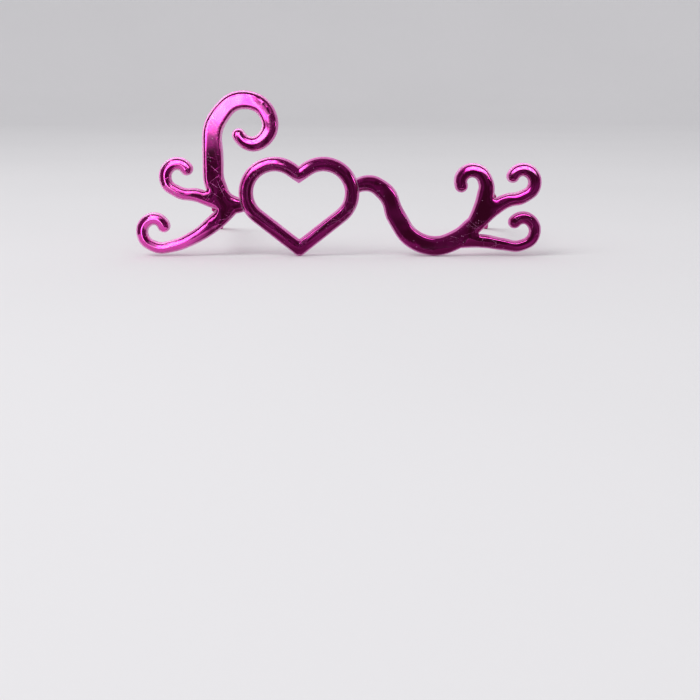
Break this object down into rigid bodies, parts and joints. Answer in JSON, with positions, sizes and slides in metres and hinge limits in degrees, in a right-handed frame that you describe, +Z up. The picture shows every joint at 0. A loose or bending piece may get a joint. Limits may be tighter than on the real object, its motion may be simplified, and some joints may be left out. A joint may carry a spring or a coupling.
{
  "type": "novelty party glasses",
  "caption": "Novelty party glasses with a raised heart eye frame, a scrollwork front, no lenses and folding temples.",
  "frame": {"origin": "middle of the whole part's box, at its foot, where the front and the temple tips stand", "axes": "+X to the wearer's left, +Y back along the temples, +Z up; the front faces -Y"},
  "size_m": [0.19, 0.1312, 0.0767],
  "materials": {
    "plate": "bright metallised magenta, glossy",
    "skin": "mirror-bright metallised magenta with fine scratches",
    "moulding": "moulded magenta, glossy",
    "screw": "bright turned steel"
  },
  "bodies": {
    "front": {"back_plate": "plate", "heart_skin": "skin", "frond_skin": "skin", "wave_skin": "skin", "right_hinge_block": "moulding", "left_hinge_block": "moulding", "right_hinge_screw": "screw", "left_hinge_screw": "screw"},
    "right_temple": {"right_temple": "moulding"},
    "left_temple": {"left_temple": "moulding"}
  },
  "joints": [
    {"name": "right_fold", "type": "hinge", "parent": "front", "child": "right_temple", "pos_m": [-0.0542, -0.05699, 0.02451], "axis": [0, 0, 1], "range_deg": [-94, 0]},
    {"name": "left_fold", "type": "hinge", "parent": "front", "child": "left_temple", "pos_m": [0.0687, -0.05699, 0.02451], "axis": [0, 0, 1], "range_deg": [0, 80]}
  ]
}
